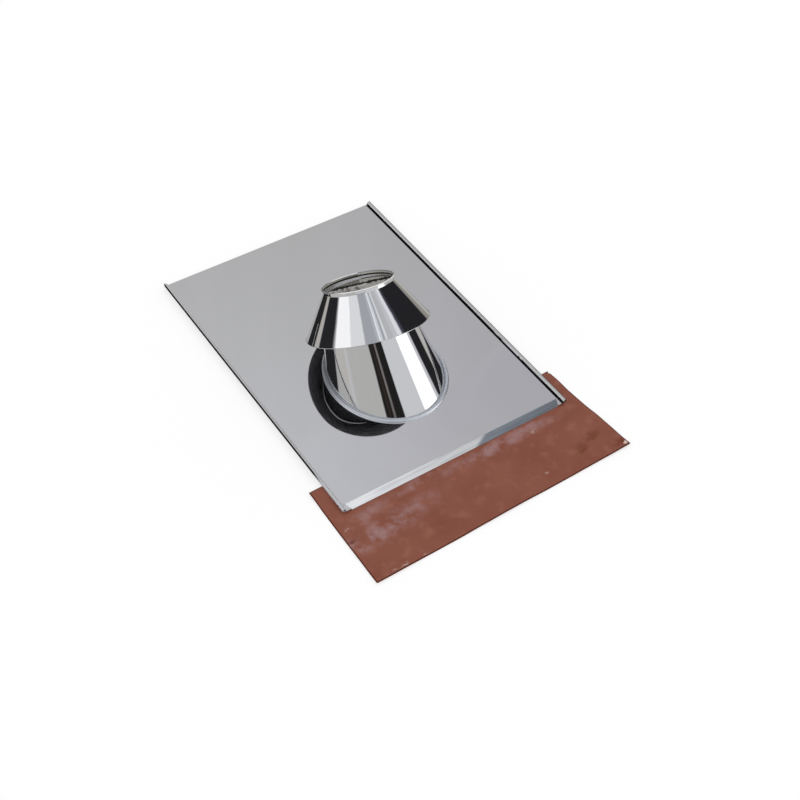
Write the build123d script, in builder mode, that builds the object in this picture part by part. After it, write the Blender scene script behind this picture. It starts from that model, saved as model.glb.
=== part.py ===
from build123d import *
import os
from math import atan, cos, degrees, radians, sin, sqrt, tan

# A flashing for a round flue on a pitched roof, lying flat as it does before it is fitted.
# Millimetres. X runs across the roof, +Y up the slope and +Z out of the roof.
# The origin is under the middle of the whole footprint, on the surface that the part lies on.

# Base plate: one thin sheet, folded up along both long sides
plate_width = 500.0
plate_length = 700.0
plate_thickness = 0.8
plate_back_y = 429.0

# Water folds: a wall, a round bend and a flap that returns inwards and down
fold_height = 7.5
fold_radius = 1.6
fold_return = 42.0
flap_length = 6.4

# Front lip: the middle of the lower edge, bent down on to the apron
lip_length = 475.0
lip_width = 16.0
lip_mitre = 6.0
lip_clearance = 0.2
lip_slit = 0.4

# Apron: a hand-cut sheet of soft lead under the lower edge of the plate
apron_thickness = 1.8
apron_rise = 3.0
apron_bond = 24.0
apron_ramp = 40.0
apron_bend_radius = 60.0
apron_left_back = (-278.0, -198.0)
apron_right_back = (271.0, -187.0)
apron_right_front = (289.0, -419.0)
apron_left_front = (-281.0, -430.0)
apron_corner_radius = 3.0
apron_worn_corner_radius = 12.0

# Flue cone: its axis leans up the slope, so that it stands upright on a roof of this pitch
roof_pitch = 30.0
flue_from_back = 434.0
cone_thickness = 0.8
cone_foot_radius = 110.0
cone_rim_radius = 75.5
cone_rim_height = 161.0
hole_inset = 1.5

# Foot bead: the cone's lower edge, rolled outwards and down to the plate
bead_width = 8.0
bead_height = 5.0
bead_edge_chamfer = 2.2

# Storm collar: a loose skirt and neck that rests on the cone's rim, slightly cocked
collar_thickness = 0.8
collar_neck_radius = 70.0
collar_neck_height = 6.5
collar_foot_radius = 122.0
collar_skirt_height = 83.4
collar_seat_gap = 0.25
collar_lean = 0.6
collar_tilt = 4.5
collar_rim_bead_radius = 1.2
collar_foot_bead_radius = 0.8
collar_bead_sides = 8

# Lap seam: the collar's outer end lies over its inner end, away from the eaves
lap_start = 56.0
lap_angle = 13.0
lap_foot_gap = 2.0
lap_rim_gap = 1.0

os.makedirs("parts", exist_ok=True)

# Levels and places that follow from the sizes above
plate_bottom = apron_thickness + apron_rise
plate_top = plate_bottom + plate_thickness
plate_front_y = plate_back_y - plate_length
flue_y = plate_back_y - flue_from_back
across = Vector(1, 0, 0)


def side_plane(origin, radial, axial):
    """Plane for a section: sketch x runs along radial and sketch y along axial."""
    return Plane(origin=origin, x_dir=radial, z_dir=radial.cross(axial))


# Flue axis, square to a level surface once the plate lies on the roof
pitch = radians(roof_pitch)
flue_origin = Vector(0, flue_y, plate_top)
flue_axis = Vector(0, sin(pitch), cos(pitch))

# Where the cone's outer face meets the plate, its outline is an ellipse
cone_slope = (cone_foot_radius - cone_rim_radius) / cone_rim_height
flatness = cos(pitch) ** 2 - (cone_slope * sin(pitch)) ** 2
oval_shift = -cone_foot_radius * cone_slope * sin(pitch) / flatness
oval_x_radius = sqrt(cone_foot_radius**2 + flatness * oval_shift**2)
oval_y_radius = oval_x_radius / sqrt(flatness)
oval_centre = (0, flue_y + oval_shift)

# Base plate
half_width = plate_width / 2
fold_top = plate_top + fold_height
lip_bend_y = plate_front_y + lip_width
lip_drop = apron_rise - lip_clearance
lip_angle = degrees(atan(lip_drop / lip_width))
lip_plane = Plane.XY.offset(plate_top).rotated((lip_angle, 0, 0))
lip_plane.origin = Vector(0, lip_bend_y, plate_top)
lip_slant = lip_width / cos(radians(lip_angle))
half_lip = lip_length / 2
half_slot = half_lip + lip_slit

with BuildPart() as base_plate:
    with BuildSketch(Plane.XZ.offset(-plate_back_y)):
        with BuildLine():
            flat = Line((0, plate_bottom), (half_width - fold_radius, plate_bottom))
            foot_bend = JernArc(flat @ 1, flat % 1, fold_radius, 90)
            wall = Line(foot_bend @ 1, (half_width, fold_top - fold_radius))
            top_bend = JernArc(wall @ 1, wall % 1, fold_radius, 90 + fold_return)
            PolarLine(top_bend @ 1, flap_length, direction=top_bend % 1)
            offset(amount=plate_thickness, side=Side.LEFT)
        make_face()
        mirror(about=Plane.YZ)
    extrude(amount=plate_length)

    # The oval hole under the cone
    with BuildSketch(Plane.XY.offset(plate_bottom)):
        with Locations(oval_centre):
            Ellipse(oval_x_radius - hole_inset, oval_y_radius - hole_inset)
    extrude(amount=plate_thickness, mode=Mode.SUBTRACT)

    # The lip is slit free at both ends, so that a flat corner stays beside each fold
    with BuildSketch(Plane.XY.offset(plate_bottom)):
        with BuildLine():
            Polyline(
                (-half_slot, lip_bend_y),
                (half_slot, lip_bend_y),
                (half_slot - lip_mitre, plate_front_y),
                (lip_mitre - half_slot, plate_front_y),
                close=True,
            )
        make_face()
    extrude(amount=plate_thickness, mode=Mode.SUBTRACT)
    with BuildSketch(lip_plane):
        with BuildLine():
            Polyline(
                (-half_lip, 0),
                (half_lip, 0),
                (half_lip - lip_mitre, -lip_slant),
                (lip_mitre - half_lip, -lip_slant),
                close=True,
            )
        make_face()
    extrude(amount=plate_thickness, dir=(0, 0, -1))

base_plate.part.label = "base_plate"
export_step(base_plate.part, "parts/base_plate.step")

# Foot bead: sheet rolled outwards and down to the plate, hollow and open underneath
def oval_ring(outset, inset, height, edge_chamfer):
    """Ring round the cone's foot, standing on the plate, with both top edges turned down."""
    with BuildPart() as ring:
        with BuildSketch(Plane.XY.offset(plate_top)):
            with Locations(oval_centre):
                Ellipse(oval_x_radius + outset, oval_y_radius + outset)
                Ellipse(oval_x_radius - inset, oval_y_radius - inset, mode=Mode.SUBTRACT)
        extrude(amount=height)
        chamfer(ring.faces().sort_by(Axis.Z)[-1].edges(), length=edge_chamfer)
    return ring.part


# The hollow's chamfer is shorter, so that the sheet keeps its thickness on the slope
bead_outset = bead_width - cone_thickness
bead_solid = oval_ring(bead_outset, cone_thickness, bead_height, bead_edge_chamfer)
bead_hollow = oval_ring(
    bead_outset - cone_thickness,
    0,
    bead_height - cone_thickness,
    bead_edge_chamfer - cone_thickness * (2 - sqrt(2)),
)

# Flue cone: the wall is revolved past the plate and cut off level with its top face
buried = cone_foot_radius

with BuildPart() as flue_cone:
    with BuildSketch(side_plane(flue_origin, across, flue_axis)):
        with BuildLine():
            Line((cone_foot_radius + cone_slope * buried, -buried), (cone_rim_radius, cone_rim_height))
            offset(amount=cone_thickness, side=Side.LEFT)
        make_face()
    revolve(axis=Axis(flue_origin, flue_axis))
    split(bisect_by=Plane.XY.offset(plate_top), keep=Keep.TOP)
    add(bead_solid - bead_hollow)

flue_cone.part.label = "flue_cone"
export_step(flue_cone.part, "parts/flue_cone.step")

# Storm collar: the rim touches the skirt all round like a ball in a funnel, so the collar can
# cock about the centre of that ball and stay seated
skirt_angle = atan((collar_foot_radius - collar_neck_radius) / collar_skirt_height)
ball_radius = cone_rim_radius / cos(skirt_angle) + collar_seat_gap
ball_height = cone_rim_height - cone_rim_radius * tan(skirt_angle)
collar_origin = flue_origin + flue_axis * ball_height
collar_plane = Plane(origin=collar_origin, x_dir=across, z_dir=flue_axis)
collar_plane = collar_plane.rotated((-collar_lean, collar_tilt, 0))
collar_axis = collar_plane.z_dir

outer_apex = (ball_radius + collar_thickness) / sin(skirt_angle)
neck_foot = outer_apex - collar_neck_radius / tan(skirt_angle)
neck_top = neck_foot + collar_neck_height
skirt_foot = neck_foot - collar_skirt_height

lap_turn = radians(lap_start)
lap_radial = collar_plane.x_dir * cos(lap_turn) + collar_plane.y_dir * sin(lap_turn)
lap_foot = skirt_foot + lap_foot_gap
lap_foot_radius = collar_foot_radius - lap_foot_gap * tan(skirt_angle)
half_wall = collar_thickness / 2
neck_bore_radius = collar_neck_radius - collar_thickness

with BuildPart() as storm_collar:
    with BuildSketch(side_plane(collar_origin, collar_plane.x_dir, collar_axis)):
        with BuildLine():
            Polyline(
                (collar_foot_radius, skirt_foot),
                (collar_neck_radius, neck_foot),
                (collar_neck_radius, neck_top),
            )
            offset(amount=collar_thickness, side=Side.LEFT, kind=Kind.INTERSECTION)
        make_face()
        with Locations((neck_bore_radius + collar_rim_bead_radius, neck_top)):
            RegularPolygon(collar_rim_bead_radius, collar_bead_sides, major_radius=False)
        with Locations((collar_foot_radius - half_wall, skirt_foot)):
            RegularPolygon(collar_foot_bead_radius, collar_bead_sides, major_radius=False)
    revolve(axis=Axis(collar_origin, collar_axis))

    # Lap seam: a second thickness of sheet outside the first, short of the rim and the foot
    with BuildSketch(side_plane(collar_origin, lap_radial, collar_axis)):
        with BuildLine():
            Polyline(
                (lap_foot_radius - half_wall, lap_foot),
                (collar_neck_radius - half_wall, neck_foot),
                (collar_neck_radius - half_wall, neck_top - lap_rim_gap),
            )
            offset(
                amount=collar_thickness + half_wall,
                side=Side.RIGHT,
                kind=Kind.INTERSECTION,
            )
        make_face()
    revolve(axis=Axis(collar_origin, collar_axis), revolution_arc=lap_angle)

storm_collar.part.label = "storm_collar"
export_step(storm_collar.part, "parts/storm_collar.step")

# Apron: flat on the ground, then up a gentle ramp to the strip bonded under the plate
apron_corners = [apron_left_back, apron_right_back, apron_right_front, apron_left_front]
apron_left = min(x for x, y in apron_corners)
apron_right = max(x for x, y in apron_corners)
apron_front = min(y for x, y in apron_corners)
apron_back = max(y for x, y in apron_corners)
ramp_top_y = apron_back - apron_bond
ramp_foot_y = ramp_top_y - apron_ramp

with BuildPart() as apron:
    with BuildSketch(Plane.YZ.offset(apron_left)):
        with BuildLine():
            FilletPolyline(
                (apron_front, 0),
                (ramp_foot_y, 0),
                (ramp_top_y, apron_rise),
                (apron_back, apron_rise),
                radius=apron_bend_radius,
            )
            offset(amount=apron_thickness, side=Side.LEFT)
        make_face()
    extrude(amount=apron_right - apron_left)
    with BuildSketch() as apron_outline:
        with BuildLine():
            Polyline(*apron_corners, close=True)
        make_face()
        worn_corner = apron_outline.vertices().sort_by_distance(apron_right_back)[0]
        fillet(worn_corner, radius=apron_worn_corner_radius)
        for corner in (apron_left_back, apron_right_front, apron_left_front):
            fillet(apron_outline.vertices().sort_by_distance(corner)[0], radius=apron_corner_radius)
    extrude(amount=plate_bottom, mode=Mode.INTERSECT)

apron.part.label = "apron"
export_step(apron.part, "parts/apron.step")
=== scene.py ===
from math import atan, cos, pi, radians, sin, sqrt, tan

import bpy
from mathutils import Matrix, Vector, noise


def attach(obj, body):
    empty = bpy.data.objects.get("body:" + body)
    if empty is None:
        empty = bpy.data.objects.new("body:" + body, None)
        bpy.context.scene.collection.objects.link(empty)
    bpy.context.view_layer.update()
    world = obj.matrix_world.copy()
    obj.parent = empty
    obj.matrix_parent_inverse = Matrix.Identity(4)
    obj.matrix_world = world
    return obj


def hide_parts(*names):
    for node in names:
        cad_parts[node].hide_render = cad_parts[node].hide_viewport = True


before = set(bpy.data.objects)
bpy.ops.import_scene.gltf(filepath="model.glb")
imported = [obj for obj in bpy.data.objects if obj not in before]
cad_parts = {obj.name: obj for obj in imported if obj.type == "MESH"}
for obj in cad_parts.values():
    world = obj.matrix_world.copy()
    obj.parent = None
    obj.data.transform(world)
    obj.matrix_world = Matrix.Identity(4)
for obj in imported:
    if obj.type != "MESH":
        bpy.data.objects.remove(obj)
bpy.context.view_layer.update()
scene = bpy.context.scene
print("frame loaded")


# node helpers, metres throughout
def addNode(tree, kind, inputs=None, **settings):
    node = tree.nodes.new(kind)
    for name, value in settings.items():
        setattr(node, name, value)
    for key, value in (inputs or {}).items():
        if isinstance(value, bpy.types.NodeSocket):
            tree.links.new(value, node.inputs[key])
        else:
            node.inputs[key].default_value = value
    return node


def calc(tree, operation, *values):
    inputs = dict(enumerate(values))
    return addNode(tree, "ShaderNodeMath", inputs, operation=operation).outputs[0]


def product(tree, first, *others):
    for other in others:
        first = calc(tree, "MULTIPLY", first, other)
    return first


def vectorCalc(tree, operation, *values, output="Vector"):
    inputs = dict(enumerate(values))
    return addNode(tree, "ShaderNodeVectorMath", inputs, operation=operation).outputs[output]


def scaled(tree, vector, factor):
    inputs = {0: vector, "Scale": factor}
    return addNode(tree, "ShaderNodeVectorMath", inputs, operation="SCALE").outputs["Vector"]


def splitXyz(tree, vector):
    return addNode(tree, "ShaderNodeSeparateXYZ", {0: vector}).outputs


def joinXyz(tree, x=0.0, y=0.0, z=0.0):
    return addNode(tree, "ShaderNodeCombineXYZ", {"X": x, "Y": y, "Z": z}).outputs[0]


def ramp(tree, value, start, finish):
    # 0 at start and 1 at finish, smooth between them, whichever of the two is larger
    return addNode(tree, "ShaderNodeMapRange", {
        "Value": value,
        "From Min": start,
        "From Max": finish,
    }, interpolation_type="SMOOTHSTEP").outputs[0]


def above(tree, value, level, softness):
    return ramp(tree, value, level - softness, level + softness)


def below(tree, value, level, softness):
    return ramp(tree, value, level + softness, level - softness)


# shape helpers
def newShapeTree(name, sizes):
    # sizes holds (label, socket type, value) for each named input
    tree = bpy.data.node_groups.new(name, "GeometryNodeTree")
    for label, kind, value in sizes:
        socket = tree.interface.new_socket(label, in_out="INPUT", socket_type="NodeSocket" + kind)
        if value is not None:
            socket.default_value = value
    tree.interface.new_socket("Geometry", in_out="OUTPUT", socket_type="NodeSocketGeometry")
    return tree, tree.nodes.new("NodeGroupInput").outputs


def unrolledGrid(tree, stepsRound, stepsAcross):
    # a flat grid, with the turn in radians along one side and a share from 0 to 1 along the other
    grid = addNode(tree, "GeometryNodeMeshGrid", {
        "Size X": 1.0,
        "Size Y": 1.0,
        "Vertices X": calc(tree, "ADD", stepsRound, 1),
        "Vertices Y": calc(tree, "ADD", stepsAcross, 1),
    })
    place = splitXyz(tree, addNode(tree, "GeometryNodeInputPosition").outputs[0])
    turn = calc(tree, "MULTIPLY", calc(tree, "ADD", place["X"], 0.5), 2 * pi)
    share = calc(tree, "ADD", place["Y"], 0.5)
    return grid.outputs["Mesh"], turn, share


def rollUp(tree, grid, point):
    rolled = addNode(tree, "GeometryNodeSetPosition", {"Geometry": grid, "Position": point})
    joined = addNode(tree, "GeometryNodeMergeByDistance", {
        "Geometry": rolled.outputs[0],
        "Distance": 1e-6,
    })
    return joined.outputs[0]


def closeShapeTree(tree, geometry, material):
    realized = addNode(tree, "GeometryNodeRealizeInstances", {0: geometry})
    painted = addNode(tree, "GeometryNodeSetMaterial", {0: realized.outputs[0], "Material": material})
    addNode(tree, "NodeGroupOutput", {0: painted.outputs[0]})


def plainMesh(source):
    graph = bpy.context.evaluated_depsgraph_get()
    return bpy.data.meshes.new_from_object(source.evaluated_get(graph), depsgraph=graph)


def growPiece(name, tree, values):
    carrier = bpy.data.objects.new(name + "Carrier", bpy.data.meshes.new(name + "Carrier"))
    scene.collection.objects.link(carrier)
    modifier = carrier.modifiers.new("shape", "NODES")
    modifier.node_group = tree
    for socket in tree.interface.items_tree:
        if socket.in_out == "INPUT" and socket.name in values:
            modifier[socket.identifier] = values[socket.name]
    piece = bpy.data.objects.new(name, plainMesh(carrier))
    scene.collection.objects.link(piece)
    bpy.data.objects.remove(carrier)
    return piece


def smoothFaces(piece, angle=35):
    piece.data.shade_smooth()
    piece.data.set_sharp_from_angle(angle=radians(angle))


# material helpers
def newMaterial(name, roughness, metallic=0.0):
    material = bpy.data.materials.new(name)
    material.use_nodes = True
    shader = material.node_tree.nodes["Principled BSDF"]
    shader.inputs["Roughness"].default_value = roughness
    shader.inputs["Metallic"].default_value = metallic
    return material, material.node_tree, shader


def objectPlace(tree):
    return addNode(tree, "ShaderNodeTexCoord").outputs["Object"]


def noiseOn(tree, place, scale, detail, roughness=0.5, output=0):
    inputs = {"Vector": place, "Scale": scale, "Detail": detail, "Roughness": roughness}
    return addNode(tree, "ShaderNodeTexNoise", inputs).outputs[output]


def bumpFrom(tree, height, distance, strength=1.0, under=None):
    inputs = {"Height": height, "Distance": distance, "Strength": strength}
    if under:
        inputs["Normal"] = under
    return addNode(tree, "ShaderNodeBump", inputs).outputs[0]


def blend(tree, share, under, over):
    # each colour is a socket or three numbers
    under, over = [(*c, 1) if isinstance(c, tuple) else c for c in (under, over)]
    inputs = {"Factor": share, "A": under, "B": over}
    return addNode(tree, "ShaderNodeMix", inputs, data_type="RGBA").outputs["Result"]


def blendValue(tree, share, under, over):
    return calc(tree, "MULTIPLY_ADD", share, over - under, under)


# polished, satin and dull sheet

sheetLook = {
    "colour": (0.865, 0.865, 0.87),
    "drawnScale": 140.0,
    "drawnStretch": (1.0, 1.0, 0.06),  # the drawn lines are long upwards
}


def steelMaterial(name, colour, roughness, metallic, waveScale, waveHeight, drawnHeight):
    material, tree, shader = newMaterial(name, roughness, metallic)
    shader.inputs["Base Color"].default_value = (*colour, 1)
    place = objectPlace(tree)
    soft = bumpFrom(tree, noiseOn(tree, place, waveScale, 2.0), waveHeight)
    # drawn sheet: fine lines that run up the part
    drawn = addNode(tree, "ShaderNodeMapping", {"Vector": place, "Scale": sheetLook["drawnStretch"]})
    lines = noiseOn(tree, drawn.outputs[0], sheetLook["drawnScale"], 3.0)
    fine = bumpFrom(tree, lines, drawnHeight, under=soft)
    tree.links.new(fine, shader.inputs["Normal"])
    return material


# colour, roughness, metallic share, scale and height of the waves, height of the drawn lines
polishedSteel = steelMaterial("polishedSteel", sheetLook["colour"], 0.03, 1.0, 14.0, 0.0002, 0.000006)
satinSteel = steelMaterial("satinSteel", (0.82, 0.85, 0.90), 0.38, 0.87, 20.0, 0.00005, 0.0)
# the inside finish is duller, and its darker colour is painted shade inside the collar and under its lower
# edge
insideSteel = steelMaterial("insideSteel", (0.50, 0.50, 0.53), 0.24, 0.72, 30.0, 0.0004, 0.00002)


# base plate: a mirror sheet with dull folds, painted shade in the seam and on the left fold's wall, a
# painted highlight and painted shade on the right flap, and painted reflection streaks on the lip

plateLook = {
    "roughness": 0.012,
    "dullRoughness": 0.462,
    "dullMetallic": 0.25,
    # flaps: where they begin inwards and how high they lie
    "leftFlap": -0.2405,
    "rightFlap": 0.2440,
    "foldLevel": 0.0083,
    "flapColour": (0.56, 0.56, 0.57),
    # a painted highlight along the right flap's inner edge, and painted shade along its outer edge
    "highlightEdge": 0.2449,
    "highlightColour": (0.82, 0.82, 0.83),
    "outerShadeEdge": 0.2480,
    "outerShadeColour": (0.10, 0.10, 0.11),
    # painted shade: the seam under the right flap, and the left fold's wall, which is painted light where
    # it stands over the apron
    "seamAcross": (0.2401, 0.2486),
    "seamLevel": (0.0052, 0.0087),
    "seamShadeColour": (0.006, 0.006, 0.007),
    "leftWall": -0.2488,
    "wallShadeColour": (0.014, 0.014, 0.015),
    "wallLightColour": (0.66, 0.69, 0.74),
    "wallShadeEnds": (-0.205, -0.165),
    # the bent lip with its painted reflection streaks, and the sheet's own unevenness
    "lipBend": -0.2552,
    "lipStreakColour": (0.58, 0.60, 0.64),
    "lipStreaks": (11.0, 170.0, 1.0),
    "lipStreakShare": 0.55,
    "lipWaveHeight": 0.00002,
    "sagEnds": (-0.245, -0.075),
    "sagDepth": 0.0030,
    "waveScale": 5.0,
    "waveHeight": 0.00022,
}


def plateMaterial():
    look = plateLook
    material, tree, shader = newMaterial("plateSteel", look["roughness"])
    seen = addNode(tree, "ShaderNodeTexCoord").outputs
    place = splitXyz(tree, seen["Object"])
    facing = splitXyz(tree, seen["Normal"])

    # the returned flaps on top of both folds have kept the dull mill finish
    high = above(tree, place["Z"], look["foldLevel"], 0.0002)
    outside = calc(tree, "ADD", calc(tree, "LESS_THAN", place["X"], look["leftFlap"]),
                   calc(tree, "GREATER_THAN", place["X"], look["rightFlap"]))
    dull = product(tree, high, outside, ramp(tree, facing["Z"], 0.02, 0.3))
    shade = blend(tree, dull, sheetLook["colour"], look["flapColour"])

    # the right flap gets painted shade along its outer edge and a painted highlight along its inner one
    outerShade = above(tree, place["X"], look["outerShadeEdge"], 0.0004)
    shade = blend(tree, product(tree, dull, outerShade), shade, look["outerShadeColour"])
    bright = product(tree, below(tree, place["X"], look["highlightEdge"], 0.0003),
                     calc(tree, "GREATER_THAN", place["X"], 0.0))
    shade = blend(tree, product(tree, dull, bright), shade, look["highlightColour"])

    # painted shade lies in the seam under the right flap
    seam = product(
        tree,
        calc(tree, "GREATER_THAN", place["X"], look["seamAcross"][0]),
        calc(tree, "LESS_THAN", place["X"], look["seamAcross"][1]),
        calc(tree, "GREATER_THAN", place["Z"], look["seamLevel"][0]),
        calc(tree, "LESS_THAN", place["Z"], look["seamLevel"][1]),
    )
    shade = blend(tree, seam, shade, look["seamShadeColour"])

    # the left fold's outer wall is painted dark as shade, and painted light where it stands over the apron
    wall = product(tree, calc(tree, "LESS_THAN", place["X"], look["leftWall"]),
                   ramp(tree, facing["X"], -0.3, -0.6))
    wallShadeShare = ramp(tree, place["Y"], *look["wallShadeEnds"])
    shade = blend(tree, wall, shade, blend(tree, wallShadeShare, look["wallLightColour"], look["wallShadeColour"]))

    # the bent lip gets darker streaks along its length, painted in place of the reflections of a rippled
    # lip
    onLip = calc(tree, "LESS_THAN", place["Y"], look["lipBend"])
    drawn = addNode(tree, "ShaderNodeMapping", {"Vector": seen["Object"], "Scale": look["lipStreaks"]})
    streaks = ramp(tree, noiseOn(tree, drawn.outputs[0], 1.0, 4.0), 0.42, 0.68)
    shade = blend(tree, product(tree, streaks, onLip, look["lipStreakShare"]), shade, look["lipStreakColour"])
    tree.links.new(shade, shader.inputs["Base Color"])

    # the painted shade in the seam and on the wall is matt
    paintedShade = calc(tree, "MAXIMUM", seam, wall)
    matt = calc(tree, "MAXIMUM", dull, paintedShade)
    roughness = blendValue(tree, matt, look["roughness"], look["dullRoughness"])
    tree.links.new(roughness, shader.inputs["Roughness"])
    tree.links.new(blendValue(tree, matt, 1.0, look["dullMetallic"]), shader.inputs["Metallic"])
    tree.links.new(blendValue(tree, paintedShade, 0.5, 0.0), shader.inputs["Specular IOR Level"])

    # the sheet sags slightly from the sleeve to the lip, and waves a little everywhere
    sag = product(tree, ramp(tree, place["Y"], *look["sagEnds"]), look["sagDepth"])
    waveHeight = blendValue(tree, onLip, look["waveHeight"], look["lipWaveHeight"])
    waves = product(tree, noiseOn(tree, seen["Object"], look["waveScale"], 2.0), waveHeight)
    tree.links.new(bumpFrom(tree, calc(tree, "ADD", sag, waves), 1.0), shader.inputs["Normal"])
    return material


# apron: terracotta paint on soft lead, with worn places, rust and painted lilac sheen

leadLook = {
    "roughness": 0.36,
    "gloss": 0.3,
    "cloudScale": 11.0,
    "cloudColours": ((0.180, 0.044, 0.020), (0.285, 0.098, 0.062)),
    "patchScale": 38.0,
    "patchColour": (0.285, 0.103, 0.066),
    "raggedScale": 90.0,
    "raggedReach": 0.016,  # how far a mark's outline is pushed about
    "brokenScale": 30.0,
    "grainScale": 60.0,
    "grainHeight": 0.0006,
    "grainStrength": 0.45,
    # the cut edge's colour is painted shade
    "cutShadeColour": (0.095, 0.022, 0.012),
    "cutRoughness": 0.5,
    "cutGloss": 0.1,
}

# the lilac marks are painted sheen, where the glossy paint would mirror the sky
lilacSheen = (0.335, 0.195, 0.195)
rust = (0.160, 0.036, 0.012)
chip = (0.62, 0.50, 0.44)
dark = (0.13, 0.03, 0.015)

# each row: centre, half lengths, turn in degrees, edge softness, strength and colour
apronMarks = [
    ((-0.202, -0.337), (0.097, 0.0190), 7, 0.9, 0.75, lilacSheen),
    ((-0.235, -0.345), (0.050, 0.0120), 4, 0.9, 0.6, lilacSheen),
    ((-0.106, -0.282), (0.035, 0.0090), 2, 0.9, 0.6, lilacSheen),
    ((0.078, -0.290), (0.110, 0.0100), 0, 0.9, 0.8, lilacSheen),
    ((0.143, -0.280), (0.036, 0.0060), -5, 0.9, 0.5, lilacSheen),
    ((-0.215, -0.295), (0.045, 0.0120), 9, 0.9, 0.6, lilacSheen),
    ((-0.265, -0.333), (0.012, 0.0052), 6, 0.6, 0.9, dark),
    ((0.229, -0.368), (0.031, 0.0084), 17, 0.9, 0.9, rust),
    ((0.198, -0.385), (0.020, 0.0053), 13, 0.9, 0.9, rust),
    ((0.272, -0.404), (0.020, 0.0080), 1, 0.8, 1.0, rust),
    ((-0.263, -0.304), (0.004, 0.0018), 0, 0.6, 0.8, chip),
    ((-0.274, -0.424), (0.004, 0.0022), 8, 0.6, 0.9, chip),
    ((-0.228, -0.423), (0.013, 0.0016), 6, 0.7, 0.9, chip),
    ((-0.214, -0.418), (0.003, 0.0014), 60, 0.7, 0.7, chip),
    ((-0.175, -0.423), (0.006, 0.0010), 4, 0.7, 0.7, chip),
    ((0.112, -0.390), (0.004, 0.0018), 6, 0.7, 0.7, chip),
    ((0.283, -0.411), (0.004, 0.0022), 30, 0.6, 1.0, chip),
    ((0.150, -0.297), (0.008, 0.0016), 22, 0.8, 0.6, chip),
]


def spotMask(tree, place, centre, reach, turn, edge):
    # a soft-edged oval on the sheet, 1 inside and 0 outside
    seen = addNode(tree, "ShaderNodeMapping", {
        "Vector": place,
        "Location": (*centre, 0.0),
        "Rotation": (0.0, 0.0, radians(turn)),
        "Scale": (*reach, 1000.0),
    }, vector_type="TEXTURE")
    far = vectorCalc(tree, "LENGTH", seen.outputs[0], output="Value")
    return below(tree, far, 1.0, edge)


def leadMaterial():
    look = leadLook
    material, tree, shader = newMaterial("paintedLead", look["roughness"])
    shader.inputs["Specular IOR Level"].default_value = look["gloss"]
    place = objectPlace(tree)
    paint = blend(tree, noiseOn(tree, place, look["cloudScale"], 5.0), *look["cloudColours"])
    patches = ramp(tree, noiseOn(tree, place, look["patchScale"], 4.0), 0.5, 0.8)
    paint = blend(tree, patches, paint, look["patchColour"])
    # marks have ragged outlines and are broken inside
    ragged = noiseOn(tree, place, look["raggedScale"], 3.0, output="Color")
    nudge = scaled(tree, vectorCalc(tree, "SUBTRACT", ragged, (0.5, 0.5, 0.5)), look["raggedReach"])
    torn = vectorCalc(tree, "ADD", place, nudge)
    broken = ramp(tree, noiseOn(tree, place, look["brokenScale"], 6.0, 0.65), 0.38, 0.62)
    for centre, reach, turn, edge, strength, colour in apronMarks:
        mask = product(tree, spotMask(tree, torn, centre, reach, turn, edge), strength, broken)
        paint = blend(tree, mask, paint, colour)
    tree.links.new(paint, shader.inputs["Base Color"])
    grain = noiseOn(tree, place, look["grainScale"], 3.0)
    uneven = bumpFrom(tree, grain, look["grainHeight"], look["grainStrength"])
    tree.links.new(uneven, shader.inputs["Normal"])
    return material


# the cut edge, and the narrow strip along it on top, are painted dark as the shade along the cut
def cutLeadMaterial():
    material, tree, shader = newMaterial("cutLead", leadLook["cutRoughness"])
    shader.inputs["Base Color"].default_value = (*leadLook["cutShadeColour"], 1)
    shader.inputs["Specular IOR Level"].default_value = leadLook["cutGloss"]
    return material


# storm collar's bore and rim, painted with reflections and shade, in the collar's own directions and from
# the middle of its rim

boreLook = {
    "rimCentre": (0.00414, 0.08296, 0.15652),
    "axisTurn": (radians(-30.602), radians(4.5), radians(-0.047)),
    "seamAngle": 1.047,
    "wallColours": ((0.34, 0.33, 0.30), (0.60, 0.59, 0.55)),
    "cloudScale": (9.0, 160.0),  # round the bore and down it
    # painted reflections: one side of the seam is painted darker and the other lighter, fading over these
    # angles
    "darkSide": (1.0, 0.1),
    "darkColour": (0.20, 0.19, 0.165),
    "lightSide": (-0.9, -0.2),
    "lightColour": (0.72, 0.72, 0.68),
    # depths below the rim, at which the band of painted shade and the painted pale reflection streaks fade
    # in and out
    "shadeBandSide": (0.46, 0.89, 0.0),
    "shadeBandSlope": 0.225,
    "shadeBandRaggedness": 0.006,
    "shadeBandFrom": (-0.0012, 0.0006),
    "shadeBandColour": (0.018, 0.015, 0.015),
    "paleFrom": (0.0034, 0.0050),
    "paleTo": (0.020, 0.008),
    "paleReflectionColour": (0.80, 0.79, 0.80),
    # painted shade in the crease under the rim
    "creaseDepth": 0.0032,
    "creaseEdge": 0.0005,
    "creaseShadeColour": (0.010, 0.010, 0.011),
    # the rim's colours, and the angles at which its painted highlight fades in and out
    "rimColours": ((0.26, 0.26, 0.27), (0.95, 0.95, 0.96)),
    "backShine": (2.2, 1.7),
    "frontShine": ((-0.5, -0.8), (-2.9, -2.5)),
}


def collarPlace(tree):
    # the spot in the collar's own directions, its depth below the rim and its turn about the axis
    local = addNode(tree, "ShaderNodeMapping", {
        "Vector": objectPlace(tree),
        "Location": boreLook["rimCentre"],
        "Rotation": boreLook["axisTurn"],
    }, vector_type="TEXTURE").outputs[0]
    place = splitXyz(tree, local)
    depth = calc(tree, "MULTIPLY", place["Z"], -1.0)
    turn = calc(tree, "ARCTAN2", place["Y"], place["X"])
    return local, depth, turn


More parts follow.
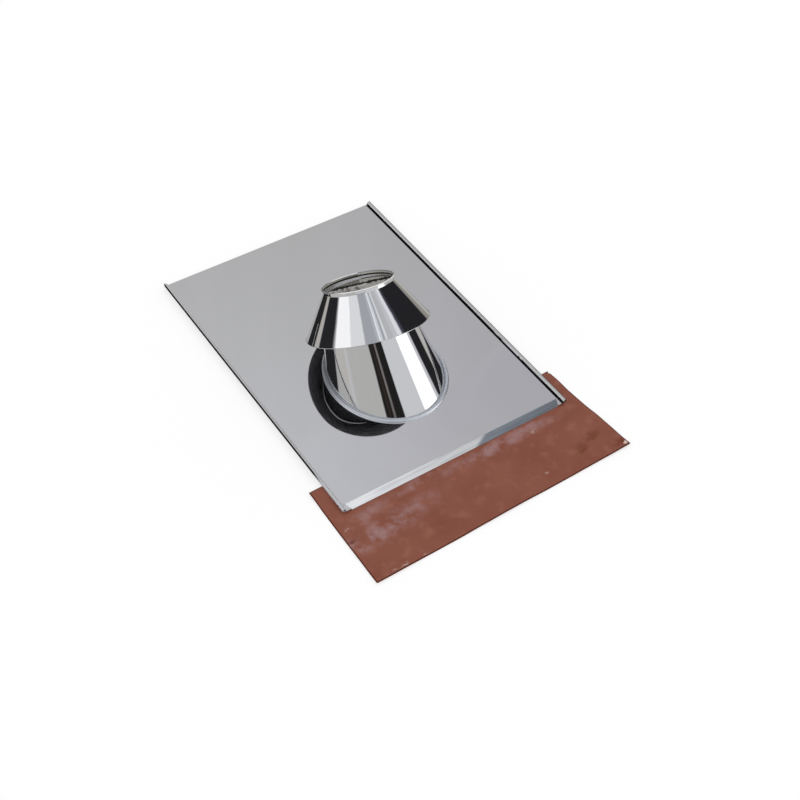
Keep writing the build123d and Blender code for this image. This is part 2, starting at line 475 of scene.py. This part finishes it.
def boreMaterial():
    look = boreLook
    material, tree, shader = newMaterial("boreSteel", 0.25, 0.25)
    local, depth, turn = collarPlace(tree)
    spread = joinXyz(tree, calc(tree, "MULTIPLY", turn, look["cloudScale"][0]),
                     calc(tree, "MULTIPLY", depth, look["cloudScale"][1]))
    cloud = noiseOn(tree, spread, 1.0, 4.0)
    shade = blend(tree, cloud, *look["wallColours"])
    # painted reflections: darker on one side of the seam and lighter on the other
    past = calc(tree, "SUBTRACT", turn, look["seamAngle"])
    darker = product(tree, calc(tree, "GREATER_THAN", past, 0.0), ramp(tree, past, *look["darkSide"]), 0.6)
    lighter = product(tree, calc(tree, "LESS_THAN", past, 0.0), ramp(tree, past, *look["lightSide"]), 0.7)
    shade = blend(tree, darker, shade, look["darkColour"])
    shade = blend(tree, lighter, shade, look["lightColour"])
    # a line of painted shade that lies deeper on the far side, with painted pale reflection streaks below
    # it
    away = vectorCalc(tree, "DOT_PRODUCT", local, look["shadeBandSide"], output="Value")
    sunk = calc(tree, "SUBTRACT", depth, calc(tree, "MULTIPLY", away, look["shadeBandSlope"]))
    raggedness = look["shadeBandRaggedness"]
    sunk = calc(tree, "MULTIPLY_ADD", cloud, raggedness, calc(tree, "SUBTRACT", sunk, raggedness / 2))
    pale = ramp(tree, sunk, *look["paleFrom"])
    shadeBand = product(tree, ramp(tree, sunk, *look["shadeBandFrom"]), calc(tree, "SUBTRACT", 1.0, pale))
    shade = blend(tree, shadeBand, shade, look["shadeBandColour"])
    streaks = product(tree, pale, ramp(tree, sunk, *look["paleTo"]), ramp(tree, cloud, 0.42, 0.56))
    shade = blend(tree, streaks, shade, look["paleReflectionColour"])
    # painted shade in a crease right under the rim
    crease = product(tree, above(tree, depth, 0.0, look["creaseEdge"]),
                     below(tree, depth, look["creaseDepth"], look["creaseEdge"]))
    shade = blend(tree, crease, shade, look["creaseShadeColour"])
    tree.links.new(shade, shader.inputs["Base Color"])
    return material


def rimMaterial():
    # the rolled rim has a painted highlight along the front and up to the seam at the back
    look = boreLook
    material, tree, shader = newMaterial("rimSteel", 0.3, 0.3)
    turn = collarPlace(tree)[-1]
    back = product(tree, calc(tree, "GREATER_THAN", turn, look["seamAngle"]),
                   ramp(tree, turn, *look["backShine"]))
    front = product(tree, *[ramp(tree, turn, *ends) for ends in look["frontShine"]])
    shade = blend(tree, calc(tree, "MAXIMUM", back, front), *look["rimColours"])
    tree.links.new(shade, shader.inputs["Base Color"])
    return material


boreSteel = boreMaterial()
rimSteel = rimMaterial()
plateSteel = plateMaterial()
paintedLead = leadMaterial()
cutLead = cutLeadMaterial()
print("materials ready")


# flue cone: a round cone that leans up the roof and is cut off level with the plate

cone = {
    "pitch": radians(30),
    "base": (0, -0.005, 0.0056),
    "footRadius": 0.110,
    "rimRadius": 0.0755,
    "rimHeight": 0.161,
    "sheet": 0.0008,
    "stepsRound": 288,
    "stepsUp": 24,
}


def leaningConeTree():
    tree, given = newShapeTree("leaningCone", [
        ("Pitch", "Float", 0.5),
        ("Base", "Vector", None),
        ("Foot Radius", "Float", 0.1),
        ("Rim Radius", "Float", 0.08),
        ("Rim Height", "Float", 0.15),
        ("Steps Round", "Int", 64),
        ("Steps Up", "Int", 8),
    ])
    grid, turn, share = unrolledGrid(tree, given["Steps Round"], given["Steps Up"])
    narrowing = calc(tree, "SUBTRACT", given["Foot Radius"], given["Rim Radius"])
    slope = calc(tree, "DIVIDE", narrowing, given["Rim Height"])
    # how far the level cut lies above the axis' own foot, on this side of the cone
    lean = calc(tree, "MULTIPLY", calc(tree, "SINE", turn), calc(tree, "TANGENT", given["Pitch"]))
    cut = calc(tree, "DIVIDE", calc(tree, "MULTIPLY", given["Foot Radius"], lean),
               calc(tree, "ADD", calc(tree, "MULTIPLY", slope, lean), 1))
    height = calc(tree, "MULTIPLY_ADD", share, calc(tree, "SUBTRACT", given["Rim Height"], cut), cut)
    radius = calc(tree, "SUBTRACT", given["Foot Radius"], calc(tree, "MULTIPLY", slope, height))
    point = joinXyz(tree, calc(tree, "MULTIPLY", radius, calc(tree, "COSINE", turn)),
                    calc(tree, "MULTIPLY", radius, calc(tree, "SINE", turn)), height)
    stood = addNode(tree, "GeometryNodeTransform", {
        "Geometry": rollUp(tree, grid, point),
        "Translation": given["Base"],
        "Rotation": joinXyz(tree, calc(tree, "MULTIPLY", given["Pitch"], -1)),
    })
    closeShapeTree(tree, stood.outputs[0], polishedSteel)
    return tree


sleeve = growPiece("flueSleeve", leaningConeTree(), {
    "Pitch": cone["pitch"],
    "Base": cone["base"],
    "Foot Radius": cone["footRadius"],
    "Rim Radius": cone["rimRadius"],
    "Rim Height": cone["rimHeight"],
    "Steps Round": cone["stepsRound"],
    "Steps Up": cone["stepsUp"],
})
wall = sleeve.modifiers.new("sheet", "SOLIDIFY")
wall.thickness = cone["sheet"]
wall.offset = -1
# the inner face and the edges take the second material
wall.material_offset = 1
wall.material_offset_rim = 1
sleeve.data.materials.append(boreSteel)
walled = plainMesh(sleeve)
sleeve.modifiers.clear()
sleeve.data = walled
smoothFaces(sleeve)
print("flue sleeve:", len(sleeve.data.vertices), "points")


# foot bead: the rolled ring round the cone's foot, standing on the plate

bead = {
    "width": 0.008,
    "height": 0.005,
    "squareness": 0.7,
    "stepsRound": 288,
    "stepsOver": 20,
}

# where the leaning cone meets the plate, its outline is an oval
slope = (cone["footRadius"] - cone["rimRadius"]) / cone["rimHeight"]
flatness = cos(cone["pitch"]) ** 2 - (slope * sin(cone["pitch"])) ** 2
ovalShift = -cone["footRadius"] * slope * sin(cone["pitch"]) / flatness
ovalAcross = sqrt(cone["footRadius"] ** 2 + flatness * ovalShift ** 2)
ovalAlong = ovalAcross / sqrt(flatness)


def ovalBeadTree():
    tree, given = newShapeTree("ovalBead", [
        ("Centre", "Vector", None),
        ("Across", "Float", 0.1),
        ("Along", "Float", 0.12),
        ("Width", "Float", 0.01),
        ("Height", "Float", 0.007),
        ("Inset", "Float", 0.001),
        ("Squareness", "Float", 0.7),
        ("Steps Round", "Int", 64),
        ("Steps Over", "Int", 12),
    ])
    grid, turn, share = unrolledGrid(tree, given["Steps Round"], given["Steps Over"])
    over = calc(tree, "MULTIPLY", share, pi)
    sine = calc(tree, "SINE", turn)
    cosine = calc(tree, "COSINE", turn)
    # outward from the inner edge, over the top and down to the plate
    swing = calc(tree, "COSINE", over)
    side = product(tree, calc(tree, "SIGN", swing),
                   calc(tree, "POWER", calc(tree, "ABSOLUTE", swing), given["Squareness"]))
    rise = calc(tree, "POWER", calc(tree, "MAXIMUM", calc(tree, "SINE", over), 0.0), given["Squareness"])
    reach = product(tree, given["Width"], calc(tree, "ADD", side, 1.0), 0.5)
    outward = calc(tree, "SUBTRACT", reach, given["Inset"])
    square = joinXyz(tree, product(tree, given["Along"], cosine), product(tree, given["Across"], sine))
    oval = joinXyz(tree, product(tree, given["Across"], cosine), product(tree, given["Along"], sine),
                   product(tree, given["Height"], rise))
    pushed = scaled(tree, vectorCalc(tree, "NORMALIZE", square), outward)
    laid = addNode(tree, "GeometryNodeTransform", {
        "Geometry": rollUp(tree, grid, vectorCalc(tree, "ADD", oval, pushed)),
        "Translation": given["Centre"],
    })
    closeShapeTree(tree, laid.outputs[0], satinSteel)
    return tree


footBead = growPiece("footBead", ovalBeadTree(), {
    "Centre": (0, cone["base"][1] + ovalShift, cone["base"][2]),
    "Across": ovalAcross,
    "Along": ovalAlong,
    "Width": bead["width"],
    "Height": bead["height"],
    "Inset": cone["sheet"],
    "Squareness": bead["squareness"],
    "Steps Round": bead["stepsRound"],
    "Steps Over": bead["stepsOver"],
})
smoothFaces(footBead, 60)
print("foot bead:", len(footBead.data.vertices), "points")


# storm collar: one strip rolled a little past a full turn, so that its ends lap

collar = {
    "neckRadius": 0.070,
    "neckHeight": 0.0065,
    "footRadius": 0.122,
    "skirtHeight": 0.0834,
    "sheet": 0.0008,
    "rimBead": 0.0012,
    "rimArc": (-100, 180, 20),  # first and last angle, and steps
    "footBead": 0.0008,
    "footArc": (-215, 50, 14),
    "neckBend": 0.0020,
    "neckBendSteps": 8,
    "innerDrop": 0.0002,  # the inner face's corners lie this much lower
    "seatGap": 0.00025,
    "lean": radians(0.6),
    "tilt": radians(4.5),
    "pathRadius": 0.05,
    "lapStart": radians(56),
    "lapTurn": radians(13),
    "lapRise": 0.0010,
    "lapBlend": (0.6, 0.955),  # the part of the turn in which the strip moves outwards
    "stepsRound": 320,
    # how far the finishes of the rim, the bore and the lower edge reach
    "rimDepth": 0.0004,
    "boreDepth": 0.012,
    "footDepth": 0.001,
}


def roundedLine(corners, radius, steps):
    # corners joined by straight runs, with each inner corner rounded
    points = [Vector(corners[0])]
    for before, corner, after in zip(corners, corners[1:], corners[2:]):
        corner = Vector(corner)
        back = (Vector(before) - corner).normalized()
        ahead = (Vector(after) - corner).normalized()
        half = back.angle(ahead) / 2
        reach = radius / tan(half)
        centre = corner + (back + ahead).normalized() * (radius / sin(half))
        start = corner + back * reach - centre
        finish = corner + ahead * reach - centre
        for step in range(steps + 1):
            share = step / steps
            arm = (start * (1 - share) + finish * share).normalized() * radius
            points.append(centre + arm)
    points.append(Vector(corners[-1]))
    return points


def arcPoints(centre, radius, arc):
    # arc is the first and the last angle in degrees, and the steps between them
    start, finish, steps = arc
    points = []
    for step in range(steps + 1):
        angle = radians(start + (finish - start) * step / steps)
        points.append(Vector((centre[0] + radius * cos(angle), centre[1] + radius * sin(angle))))
    return points


# the rim of the cone touches the skirt like a ball in a funnel; heights are from that ball's centre
skirtTilt = atan((collar["footRadius"] - collar["neckRadius"]) / collar["skirtHeight"])
ballRadius = cone["rimRadius"] / cos(skirtTilt) + collar["seatGap"]
ballHeight = cone["rimHeight"] - cone["rimRadius"] * tan(skirtTilt)
outerApex = (ballRadius + collar["sheet"]) / sin(skirtTilt)
neckFoot = outerApex - collar["neckRadius"] / tan(skirtTilt)
neckTop = neckFoot + collar["neckHeight"]
skirtFoot = neckFoot - collar["skirtHeight"]


def collarSection():
    # closed outline of the rolled strip, radius first, height second
    sheet = collar["sheet"]
    neckBore = collar["neckRadius"] - sheet
    slant = sheet / cos(skirtTilt)
    outer = roundedLine([
        (collar["footRadius"], skirtFoot),
        (collar["neckRadius"], neckFoot),
        (collar["neckRadius"], neckTop - collar["rimBead"]),
    ], collar["neckBend"], collar["neckBendSteps"])
    rim = arcPoints((neckBore + collar["rimBead"], neckTop), collar["rimBead"], collar["rimArc"])
    inner = roundedLine([
        (neckBore, neckTop - collar["innerDrop"]),
        (neckBore, neckFoot - collar["innerDrop"]),
        (collar["footRadius"] - slant, skirtFoot),
    ], collar["neckBend"] + sheet, collar["neckBendSteps"])
    foot = arcPoints((collar["footRadius"] - slant / 2, skirtFoot), collar["footBead"], collar["footArc"])
    return list(reversed(outer + rim + inner + foot))


def drawSection(points, pathRadius):
    # height runs along -Y, because Curve to Mesh lays a section's Y downwards
    curve = bpy.data.curves.new("collarSection", "CURVE")
    curve.dimensions = "3D"
    line = curve.splines.new("POLY")
    line.points.add(len(points) - 1)
    for spot, point in zip(line.points, points):
        spot.co = (point[0] - pathRadius, -point[1], 0, 1)
    line.use_cyclic_u = True
    drawn = bpy.data.objects.new("collarSection", curve)
    scene.collection.objects.link(drawn)
    return drawn


def rolledStripTree():
    tree, given = newShapeTree("rolledStrip", [
        ("Section", "Object", None),
        ("Start", "Float", 0.0),
        ("Turn", "Float", 6.5),
        ("Path Radius", "Float", 0.05),
        ("Lap Rise", "Float", 0.001),
        ("Blend From", "Float", 0.5),
        ("Blend To", "Float", 0.95),
        ("Steps Round", "Int", 128),
        ("Place", "Vector", None),
        ("Tilt", "Vector", None),
    ])
    path = addNode(tree, "GeometryNodeCurveArc", {
        "Resolution": given["Steps Round"],
        "Radius": given["Path Radius"],
        "Start Angle": given["Start"],
        "Sweep Angle": given["Turn"],
    })
    # the last part of the turn moves outwards by more than one thickness, over the first part
    along = addNode(tree, "GeometryNodeSplineParameter").outputs["Factor"]
    lapped = ramp(tree, along, given["Blend From"], given["Blend To"])
    drift = calc(tree, "MULTIPLY", lapped, given["Lap Rise"])
    away = vectorCalc(tree, "NORMALIZE", addNode(tree, "GeometryNodeInputPosition").outputs[0])
    wound = addNode(tree, "GeometryNodeSetPosition", {
        "Geometry": path.outputs["Curve"],
        "Offset": scaled(tree, away, drift),
    })
    upright = addNode(tree, "GeometryNodeSetCurveNormal", {"Curve": wound.outputs[0]}, mode="Z_UP")
    section = addNode(tree, "GeometryNodeObjectInfo", {"Object": given["Section"]})
    strip = addNode(tree, "GeometryNodeCurveToMesh", {
        "Curve": upright.outputs[0],
        "Profile Curve": section.outputs["Geometry"],
        "Fill Caps": True,
    })
    seated = addNode(tree, "GeometryNodeTransform", {
        "Geometry": strip.outputs[0],
        "Translation": given["Place"],
        "Rotation": given["Tilt"],
    })
    closeShapeTree(tree, seated.outputs[0], polishedSteel)
    return tree


# leaned with the flue first, then cocked about the slope line and about the line across
flueAxis = Vector((0, sin(cone["pitch"]), cos(cone["pitch"])))
collarSeat = Vector(cone["base"]) + flueAxis * ballHeight
upFlue = Matrix.Rotation(-cone["pitch"], 3, "X")
cocked = (Matrix.Rotation(-collar["lean"], 3, "X") @ Matrix.Rotation(collar["tilt"], 3, "Y")) @ upFlue

sectionCurve = drawSection(collarSection(), collar["pathRadius"])
stormCollar = growPiece("stormCollarStrip", rolledStripTree(), {
    "Section": sectionCurve,
    "Start": collar["lapStart"],
    "Turn": 2 * pi + collar["lapTurn"],
    "Path Radius": collar["pathRadius"],
    "Lap Rise": collar["lapRise"],
    "Blend From": collar["lapBlend"][0],
    "Blend To": collar["lapBlend"][1],
    "Steps Round": collar["stepsRound"],
    "Place": collarSeat,
    "Tilt": cocked.to_euler("XYZ"),
})
bpy.data.objects.remove(sectionCurve)
smoothFaces(stormCollar)
outsideFinish, insideFinish, boreFinish, rimFinish = range(4)
for metal in (insideSteel, boreSteel, rimSteel):
    stormCollar.data.materials.append(metal)
collarAxis = cocked @ Vector((0, 0, 1))


def collarFinish(face):
    arm = face.center - collarSeat
    height = arm.dot(collarAxis)
    arm = arm - collarAxis * height
    if height > neckTop - collar["rimDepth"]:
        return rimFinish
    # faces turned down along the lower edge take the darker inside finish, as painted shade
    if height < skirtFoot + collar["footDepth"] and face.normal.dot(collarAxis) < -0.35:
        return insideFinish
    if face.normal.dot(arm.normalized()) < -0.5:
        return boreFinish if height > neckFoot - collar["boreDepth"] else insideFinish
    return outsideFinish


for face in stormCollar.data.polygons:
    face.material_index = collarFinish(face)
print("storm collar:", len(stormCollar.data.vertices), "points")


# apron: a hand-cut sheet of soft lead, flat on the ground and tucked under the plate

apron = {
    "corners": [(-0.278, -0.198), (0.271, -0.187), (0.289, -0.419), (-0.281, -0.430)],
    "cornerRadii": (0.003, 0.012, 0.003, 0.003),
    "thickness": 0.0018,
    "rise": 0.003,
    "bond": 0.024,
    "ramp": 0.040,
    "edgeWander": 0.0012,
    "edgeDrop": 0.0007,
    "edgeStrip": 0.0020,
    "across": 0.56,  # mean width and length, for the edge strip's share of them
    "down": 0.232,
    "rippleScale": 14,
    "swell": 0.0016,
    "swellScale": (7, 11),
    "dent": 0.0005,
    "dentScale": (26, 30),
    "curl": 0.0015,
    "curlScale": 9,
    "loose": (0.288, 0.335),  # distances down the slope, over which it comes loose and curls
    "curled": (0.395, 0.43),
    "steps": (230, 96),
}


def fadeIn(value, start, finish):
    share = min(max((value - start) / (finish - start), 0), 1)
    return share * share * (3 - 2 * share)


def roundCorner(spot, corner, alongOne, alongTwo, radius):
    # squeezes the corner's square into a quarter disc
    arm = spot - corner
    one, two = 1 - arm.dot(alongOne) / radius, 1 - arm.dot(alongTwo) / radius
    if not (0 < one <= 1.001 and 0 < two <= 1.001):
        return spot
    bentOne = one * sqrt(1 - two * two / 2)
    bentTwo = two * sqrt(1 - one * one / 2)
    return corner + alongOne * radius * (1 - bentOne) + alongTwo * radius * (1 - bentTwo)


def apronPoint(u, v):
    # u runs left to right and v from the back edge to the front edge
    corners = [Vector(c) for c in apron["corners"]]
    backLeft, backRight, frontRight, frontLeft = corners
    spot = backLeft.lerp(backRight, u).lerp(frontLeft.lerp(frontRight, u), v)
    # hand-cut edges wander a little, always inwards
    wander = apron["edgeWander"]
    scale = apron["rippleScale"]
    ripple = 0.5 + 0.5 * noise.noise((spot.x * scale, spot.y * scale, 3.0))
    swell = sin(pi * u)
    spot.y += wander * (0.35 * swell + 0.9 * ripple) * fadeIn(v, 0.9, 1.0)
    spot.x += wander * ripple * fadeIn(1 - u, 0.96, 1.0)
    spot.x -= wander * ripple * fadeIn(u, 0.96, 1.0)
    for index, radius in enumerate(apron["cornerRadii"]):
        corner = corners[index]
        alongOne = (corners[index - 1] - corner).normalized()
        alongTwo = (corners[(index + 1) % 4] - corner).normalized()
        spot = roundCorner(spot, corner, alongOne, alongTwo, radius)
    return spot


def rampLift(y):
    top = max(c[1] for c in apron["corners"]) - apron["bond"]
    return apron["rise"] * fadeIn(y, top - apron["ramp"], top)


def dressedLift(spot):
    # soft lead never lies quite flat: long swells, shorter dents and a curled front edge
    swellX, swellY = apron["swellScale"]
    dentX, dentY = apron["dentScale"]
    swell = 0.5 + noise.noise((spot.x * swellX + 4, spot.y * swellY, 0.3))
    dent = 0.5 + noise.noise((spot.x * dentX, spot.y * dentY, 8.1))
    curl = 0.5 + noise.noise((spot.x * apron["curlScale"], 1.7, 5.5))
    curl = fadeIn(-spot.y, *apron["curled"]) * curl
    lift = apron["swell"] * max(swell, 0) + apron["dent"] * max(dent, 0) + apron["curl"] * max(curl, 0)
    return fadeIn(-spot.y, *apron["loose"]) * lift


def gridShare(step, steps, strip):
    # even steps, but for a narrow one along either edge
    if step in (0, steps):
        return step / steps
    return strip + (1 - 2 * strip) * (step - 1) / (steps - 2)


def apronPoints(across, down):
    # the top first, then the underside
    points = []
    for top in (1, 0):
        for j in range(down + 1):
            v = gridShare(j, down, apron["edgeStrip"] / apron["down"])
            for i in range(across + 1):
                flat = apronPoint(gridShare(i, across, apron["edgeStrip"] / apron["across"]), v)
                z = rampLift(flat.y) + dressedLift(flat) + top * apron["thickness"]
                # the cut has pressed the top edge down
                if top and (i in (0, across) or j in (0, down)):
                    z -= apron["edgeDrop"]
                points.append((flat.x, flat.y, z))
    return points


def apronFaces(across, down):
    # every face, and the numbers of those along the cut edge
    row = across + 1
    layer = row * (down + 1)
    faces, cutFaces = [], []
    for j in range(down):
        for i in range(across):
            a = j * row + i
            faces.append((a, a + row, a + row + 1, a + 1))
            if i in (0, across - 1) or j in (0, down - 1):
                cutFaces.append(len(faces) - 1)
            faces.append((layer + a, layer + a + 1, layer + a + row + 1, layer + a + row))
    rim = [j * row for j in range(down + 1)]
    rim += [down * row + i for i in range(1, row)]
    rim += [j * row + across for j in range(down - 1, -1, -1)]
    rim += [i for i in range(across - 1, 0, -1)]
    for a, b in zip(rim, rim[1:] + rim[:1]):
        cutFaces.append(len(faces))
        faces.append((a, layer + a, layer + b, b))
    return faces, cutFaces


def makeApron():
    faces, cutFaces = apronFaces(*apron["steps"])
    mesh = bpy.data.meshes.new("apronSheet")
    mesh.from_pydata(apronPoints(*apron["steps"]), [], faces)
    mesh.materials.append(paintedLead)
    mesh.materials.append(cutLead)
    for index in cutFaces:
        mesh.polygons[index].material_index = 1
    piece = bpy.data.objects.new("apronSheet", mesh)
    scene.collection.objects.link(piece)
    return piece


apronSheet = makeApron()
smoothFaces(apronSheet)
print("apron:", len(apronSheet.data.vertices), "points")


# what stands for which part of the frame

for piece, node, slotName in (
    (sleeve, "flue_cone", "polished_steel"),
    (footBead, None, "polished_steel"),
    (stormCollar, "storm_collar", "polished_steel"),
    (apronSheet, "apron", "painted_lead"),
):
    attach(piece, "root")
    if node:
        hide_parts(node)

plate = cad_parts["base_plate"]
plate.data.materials.clear()
plate.data.materials.append(plateSteel)


# the ground, and a patch of it inside the sleeve that the polished bore mirrors

ground = {
    "size": 30,
    "level": -0.0003,
    "glow": 0.6,
    "innerRadius": 0.105,
    "innerPlace": (0, -0.02, -0.0002),
}


def groundMaterial():
    material = bpy.data.materials.new("studioFloor")
    material.use_nodes = True
    tree = material.node_tree
    tree.nodes.clear()
    matte = addNode(tree, "ShaderNodeBsdfDiffuse", {"Color": (1, 1, 1, 1)})
    glow = addNode(tree, "ShaderNodeEmission", {"Color": (1, 1, 1, 1), "Strength": 1.0})
    # a softly lit ground, on which the shadow stays faint
    mixed = addNode(tree, "ShaderNodeMixShader", {
        0: ground["glow"],
        1: matte.outputs[0],
        2: glow.outputs[0],
    })
    addNode(tree, "ShaderNodeOutputMaterial", {"Surface": mixed.outputs[0]})
    return material


groundWhite = groundMaterial()
bpy.ops.mesh.primitive_plane_add(size=ground["size"], location=(0, 0, ground["level"]))
floor = bpy.context.object
floor.name = "studioFloor"
floor.data.materials.append(groundWhite)
floor.visible_glossy = False

bpy.ops.mesh.primitive_circle_add(vertices=96, radius=ground["innerRadius"], fill_type="NGON",
                                  location=ground["innerPlace"])
innerGround = bpy.context.object
innerGround.name = "innerGround"
innerGround.data.materials.append(groundWhite)


# the room that polished metal mirrors: pale walls, lit panels and dark gaps between them

room = {
    "colour": (0.57, 0.575, 0.605),
    "streaksAcross": 0.55,
    "streaksUp": 0.035,
    "unevenness": (0.982, 1.018),
}

# each row: middle azimuth, half width, low and high elevation, edge softness in degrees, colour.
# Azimuth 0 is up the roof and 90 to the right
studioPanels = [
    # pale ground, the wall behind and the ceiling
    (0, 190, -95, -3, 3, (0.50, 0.485, 0.46)),
    (36, 60, 5, 46, 8, (0.475, 0.475, 0.478)),
    (62, 24, 5, 60, 12, (0.41, 0.405, 0.44)),
    (0, 190, 67, 95, 3, (0.38, 0.395, 0.425)),
    # ceiling streaks
    (124, 14, 66, 95, 3, (0.50, 0.505, 0.52)),
    (145, 5, 66, 95, 2, (0.72, 0.73, 0.76)),
    (168, 6, 66, 95, 3, (0.66, 0.69, 0.73)),
    (-179, 6, 66, 95, 3, (0.84, 0.88, 0.94)),
    (-162, 8, 66, 95, 7, (0.47, 0.49, 0.52)),
    # left: light wall, white panel, dark gap
    (-98, 42, 0, 40, 3, (0.465, 0.465, 0.458)),
    (-88, 12, 45, 74, 2, (0.76, 0.77, 0.79)),
    (-66, 10, 27, 56, 1.5, (1.04, 1.04, 1.06)),
    (-30.5, 25.5, -1, 50, 2, (0.02, 0.02, 0.022)),
    (-20, 40, -95, -20, 2, (0.02, 0.02, 0.02)),
    (-15, 14, -32, 0, 1, (0.02, 0.02, 0.02)),
    (-32, 3.6, -14, 3, 1.5, (0.46, 0.44, 0.41)),
    # right: dark gap with a blue edge, narrow strip, white panel
    (87.5, 21.5, -9, 56, 1.5, (0.018, 0.018, 0.021)),
    (107, 2.5, 30, 56, 2, (0.06, 0.06, 0.085)),
    (66, 7, -32, -5, 3, (0.30, 0.285, 0.26)),
    (112, 3.5, 48, 64, 1.5, (0.76, 0.78, 0.82)),
    (130, 15, 0, 42, 2, (1.35, 1.35, 1.35)),
    (167, 20, -5, 62, 2, (0.62, 0.63, 0.65)),
    # behind the camera: dark gap with brown and pale streaks
    (-154.5, 17.5, 20, 46, 1.5, (0.016, 0.015, 0.015)),
    (-151, 20, 29, 46, 1.5, (0.016, 0.015, 0.015)),
    (-145, 1.8, 20, 44, 1.8, (0.034, 0.024, 0.020)),
    (-152.5, 1.4, 20, 44, 1.2, (0.13, 0.12, 0.115)),
    (-153, 2.0, 30, 36, 1.5, (0.20, 0.18, 0.175)),
    # above the lip: a pale panel that ends in slate
    (52, 9.9, 58, 78, 0.2, (0.63, 0.635, 0.645)),
    (49, 9, 58, 78, 4, (0.87, 0.88, 0.91)),
    (71, 9.1, 48, 70, 0.2, (0.215, 0.24, 0.275)),
    (73, 7.5, 48, 70, 3, (0.085, 0.09, 0.10)),
]


def studioWorld():
    world = bpy.data.worlds.new("studio")
    world.use_nodes = True
    tree = world.node_tree
    tree.nodes.clear()
    way = splitXyz(tree, addNode(tree, "ShaderNodeTexCoord").outputs["Generated"])
    toDegrees = 180 / pi
    azimuth = calc(tree, "MULTIPLY", calc(tree, "ARCTAN2", way["X"], way["Y"]), toDegrees)
    elevation = calc(tree, "MULTIPLY", calc(tree, "ARCSINE", way["Z"]), toDegrees)
    shade = room["colour"]
    for middle, halfWidth, low, high, edge, colour in studioPanels:
        across = calc(tree, "WRAP", calc(tree, "SUBTRACT", azimuth, middle), 180.0, -180.0)
        up = calc(tree, "SUBTRACT", elevation, (low + high) / 2)
        halfHeight = (high - low) / 2
        mask = product(tree, below(tree, calc(tree, "ABSOLUTE", across), halfWidth, edge),
                       below(tree, calc(tree, "ABSOLUTE", up), halfHeight, edge))
        shade = blend(tree, mask, shade, colour)
    # the room is not even: faint upright streaks run through all of it
    spread = joinXyz(tree, calc(tree, "MULTIPLY", azimuth, room["streaksAcross"]),
                     calc(tree, "MULTIPLY", elevation, room["streaksUp"]))
    darkest, brightest = room["unevenness"]
    uneven = addNode(tree, "ShaderNodeMapRange", {
        "Value": noiseOn(tree, spread, 1.0, 4.0),
        "From Min": 0.3,
        "From Max": 0.7,
        "To Min": darkest,
        "To Max": brightest,
    })
    # only mirrored rays see the room, and all others a plain white
    mirrored = addNode(tree, "ShaderNodeBackground", {"Color": shade, "Strength": uneven.outputs[0]})
    plain = addNode(tree, "ShaderNodeBackground", {"Color": (1, 1, 1, 1), "Strength": 1.0})
    chosen = addNode(tree, "ShaderNodeMixShader", {
        0: addNode(tree, "ShaderNodeLightPath").outputs["Is Glossy Ray"],
        1: plain.outputs[0],
        2: mirrored.outputs[0],
    })
    addNode(tree, "ShaderNodeOutputWorld", {"Surface": chosen.outputs[0]})
    return world


scene.world = studioWorld()


# the camera stands where the photo was taken from

view = {
    "lens": 62.41,
    "sensorWidth": 36,
    "place": (-1.02584, -1.58112, 1.95336),
    "right": (0.83571, -0.54895, 0.01531),
    "up": (0.39509, 0.62037, 0.67753),
    "back": (-0.38143, -0.56017, 0.73534),
}

camera = bpy.data.cameras.new("photoCamera")
camera.lens = view["lens"]
camera.sensor_width = view["sensorWidth"]
photoCamera = bpy.data.objects.new("photoCamera", camera)
scene.collection.objects.link(photoCamera)
turned = Matrix((view["right"], view["up"], view["back"])).transposed().to_4x4()
photoCamera.matrix_world = Matrix.Translation(view["place"]) @ turned
scene.camera = photoCamera
scene.view_settings.view_transform = "Standard"
print("studio ready")
